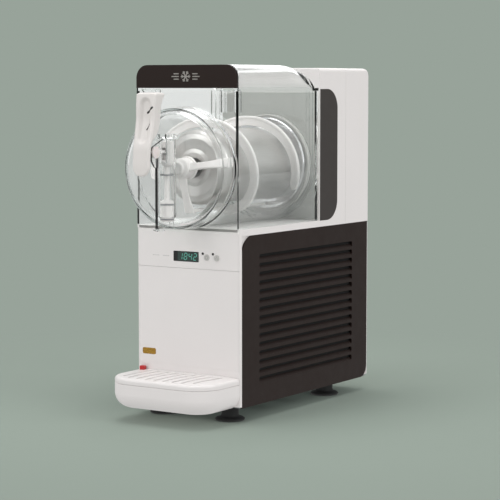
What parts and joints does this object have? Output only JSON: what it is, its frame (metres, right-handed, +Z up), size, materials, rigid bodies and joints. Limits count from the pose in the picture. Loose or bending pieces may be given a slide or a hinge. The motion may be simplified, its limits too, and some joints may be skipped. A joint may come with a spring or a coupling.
{
  "type": "slushie machine",
  "caption": "Countertop frozen-drink machine: louvred base, clear bowl with spiral auger around a chilled drum, lift-off lid, pull-handle piston tap and drip tray.",
  "frame": {"origin": "on the counter, under the middle of the machine's footprint box, which runs from the front of the handle to the heads of the rear screws", "axes": "+Z up, -Y the way the tap and the display face, +X to the right of someone who stands behind the machine's tap and looks along +Y"},
  "size_m": [0.2, 0.5276, 0.5624],
  "materials": {
    "white_plastic": "satin white moulded plastic",
    "brown_plastic": "fine textured dark brown plastic",
    "tower_trim": "satin dark grey-brown plastic",
    "clear_plastic": "clear moulded copolyester",
    "grey_plastic": "light grey plastic",
    "stainless": "brushed stainless steel",
    "chrome_ring": "polished stainless steel",
    "galvanised": "galvanised sheet",
    "condenser_metal": "bare fins on tube",
    "grey_metal": "grey enamel on castings",
    "black_enamel": "black enamel",
    "black_plastic": "black moulded plastic",
    "black_rubber": "black rubber",
    "filter_foam": "open-cell black filter foam",
    "copper": "copper tube",
    "board_green": "printed circuit board",
    "display_glass": "dark green display window",
    "gold_metal": "polished gold-coloured plate",
    "silver_ink": "satin silver",
    "float_red": "red plastic",
    "pin_plastic": "pale acetal",
    "seal_grey": "grey silicone rubber"
  },
  "bodies": {
    "chassis": {"base_pan": "galvanised", "body_shell": "white_plastic", "deck": "white_plastic", "kick_panel": "white_plastic", "front_panel": "white_plastic", "front_badge": "gold_metal", "display_panel": "white_plastic", "display_lens": "display_glass", "status_leds": "black_plastic", "display_board": "board_green", "side_panel_left": "brown_plastic", "side_panel_right": "brown_plastic", "louvre_screens": "filter_foam", "rear_panel": "white_plastic", "power_inlet": "black_plastic", "tower_housing": "white_plastic", "tower_cover": "white_plastic", "tower_trim_left": "tower_trim", "tower_trim_right": "tower_trim", "rear_screws": "stainless", "bulkhead": "grey_plastic", "feet": "black_rubber", "compressor": "black_enamel", "compressor_mounts": "black_rubber", "condenser": "condenser_metal", "fan_shroud": "black_plastic", "fan_motor": "galvanised", "filter_drier": "copper", "refrigerant_pipes": "copper", "control_board": "board_green", "motor_bracket": "galvanised", "gearbox": "grey_metal", "drive_motor": "grey_metal", "shaft_bushes": "pin_plastic", "shaft_seal": "black_rubber", "evaporator": "stainless", "drum_flange": "stainless", "evaporator_coil": "copper", "evaporator_ring": "chrome_ring", "bowl_gasket": "grey_plastic"},
    "auger": {"auger": "white_plastic", "drive_shaft": "stainless"},
    "fan": {"fan_blades": "black_plastic"},
    "bowl": {"bowl": "clear_plastic", "tap_body": "clear_plastic", "pivot_pin": "pin_plastic", "tap_spring": "black_enamel"},
    "tap_handle": {"tap_handle": "white_plastic", "handle_lever": "white_plastic"},
    "tap_piston": {"tap_piston": "pin_plastic", "piston_seals": "seal_grey"},
    "lid": {"lid": "clear_plastic", "lid_panel": "brown_plastic", "lid_emblem": "silver_ink"},
    "drip_tray": {"drip_tray": "white_plastic"},
    "drip_grille": {"drip_grille": "white_plastic"},
    "float": {"float": "float_red"},
    "menu_button": {"menu_button": "grey_plastic"},
    "start_button": {"start_button": "grey_plastic"},
    "power_switch": {"power_switch": "black_plastic"}
  },
  "joints": [
    {"name": "auger_spin", "type": "hinge", "parent": "chassis", "child": "auger", "pos_m": [0, -0.1378, 0.4], "axis": [0, 1, 0], "continuous": true},
    {"name": "fan_spin", "type": "hinge", "parent": "chassis", "child": "fan", "pos_m": [0, -0.0478, 0.13], "axis": [0, 1, 0], "continuous": true},
    {"name": "bowl_pull", "type": "slide", "parent": "chassis", "child": "bowl", "axis": [0, -1, 0], "range_m": [0, 0.25]},
    {"name": "lid_lift", "type": "slide", "parent": "bowl", "child": "lid", "axis": [0, 0, 1], "range_m": [0, 0.12]},
    {"name": "tap_lever", "type": "hinge", "parent": "bowl", "child": "tap_handle", "pos_m": [0, -0.2428, 0.428], "axis": [1, 0, 0], "range_deg": [0, 25], "stiffness_Nm_per_rad": 0.9, "springref_deg": -20.05, "deforming": ["tap_spring"]},
    {"name": "piston_lift", "type": "slide", "parent": "bowl", "child": "tap_piston", "axis": [0, 0, 1], "range_m": [0, 0.0215]},
    {"name": "tray_pull", "type": "slide", "parent": "chassis", "child": "drip_tray", "axis": [0, -1, 0], "range_m": [0, 0.13]},
    {"name": "grille_lift", "type": "slide", "parent": "drip_tray", "child": "drip_grille", "axis": [0, 0, 1], "range_m": [0, 0.06]},
    {"name": "float_rise", "type": "slide", "parent": "drip_tray", "child": "float", "axis": [0, 0, 1], "range_m": [0, 0.008]},
    {"name": "menu_press", "type": "slide", "parent": "chassis", "child": "menu_button", "axis": [0, 1, 0], "range_m": [0, 0.0012], "stiffness_N_per_m": 1200, "springref_m": -0.0008},
    {"name": "start_press", "type": "slide", "parent": "chassis", "child": "start_button", "axis": [0, 1, 0], "range_m": [0, 0.0012], "stiffness_N_per_m": 1200, "springref_m": -0.0008},
    {"name": "switch_rock", "type": "hinge", "parent": "chassis", "child": "power_switch", "pos_m": [-0.065, 0.2572, 0.113], "axis": [1, 0, 0], "range_deg": [0, 16]}
  ],
  "couplings": [
    {"joint": "piston_lift", "follows": "tap_lever", "m_per_rad": 0.048}
  ]
}
